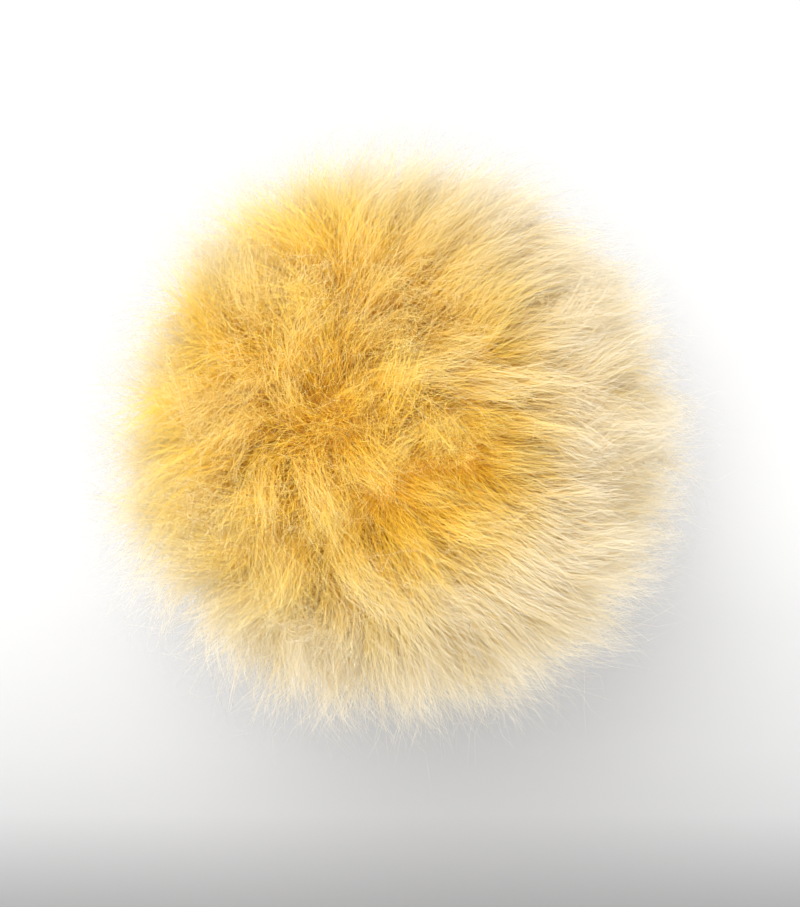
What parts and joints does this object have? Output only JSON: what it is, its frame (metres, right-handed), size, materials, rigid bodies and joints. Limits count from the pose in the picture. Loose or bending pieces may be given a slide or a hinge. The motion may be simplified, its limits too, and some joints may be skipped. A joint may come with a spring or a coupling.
{
  "type": "furry windscreen",
  "caption": "Round long-pile fur windscreen over a two-part ball basket, with a screw-down rubber-lined clamp for a microphone.",
  "frame": {"origin": "centre of the underside, where the microphone goes in, on the microphone's axis", "axes": "+Z along the microphone's axis, from the neck to the nose; +X and +Y lie along the seams between fur panels"},
  "size_m": [0.102, 0.102, 0.093],
  "materials": {
    "fur": "long soft pile, golden at the root and cream at the tip",
    "cuff_knit": "ribbed knit",
    "seam_tape": "folded woven tape with stitching",
    "elastic": "woven elastic",
    "label": "blank woven satin",
    "cage_plastic": "matte",
    "ring_plastic": "matte",
    "collet_plastic": "satin",
    "gauze": "fine woven mesh",
    "foam": "open-cell foam",
    "grip_rubber": "matte",
    "screw_steel": "satin"
  },
  "bodies": {
    "rear_basket": {"rear_cage": "cage_plastic", "rear_gauze": "gauze", "rear_foam": "foam", "neck_hub": "cage_plastic", "hub_screws": "screw_steel", "collet": "collet_plastic", "grip_sleeve": "grip_rubber", "rim_gasket": "grip_rubber"},
    "front_basket": {"front_cage": "cage_plastic", "front_gauze": "gauze", "front_foam": "foam"},
    "thrust_ring": {"thrust_ring": "collet_plastic"},
    "lock_ring": {"lock_ring": "ring_plastic"},
    "fur_cover": {"fur_panel_1": "fur", "fur_panel_2": "fur", "fur_panel_3": "fur", "fur_panel_4": "fur", "neck_cuff": "cuff_knit", "cuff_elastic": "elastic", "seam_tapes": "seam_tape", "care_label": "label"}
  },
  "joints": [
    {"name": "cover_pull", "type": "slide", "parent": "rear_basket", "child": "fur_cover", "axis": [0, 0, 1], "range_m": [0, 0.16], "deforming": ["fur_panel_1", "fur_panel_2", "fur_panel_3", "fur_panel_4", "neck_cuff", "cuff_elastic", "seam_tapes", "care_label"]},
    {"name": "front_basket_pull", "type": "slide", "parent": "rear_basket", "child": "front_basket", "axis": [0, 0, 1], "range_m": [0, 0.056]},
    {"name": "thrust_ring_lift", "type": "slide", "parent": "rear_basket", "child": "thrust_ring", "axis": [0, 0, 1], "range_m": [0, 0.001]},
    {"name": "lock_ring_turn", "type": "hinge", "parent": "thrust_ring", "child": "lock_ring", "pos_m": [0, 0, 0.005], "axis": [0, 0, 1], "range_deg": [0, 120]}
  ],
  "couplings": [
    {"joint": "front_basket_pull", "follows": "cover_pull", "ratio": 0.35},
    {"joint": "thrust_ring_lift", "follows": "lock_ring_turn", "m_per_rad": 0.000477}
  ]
}
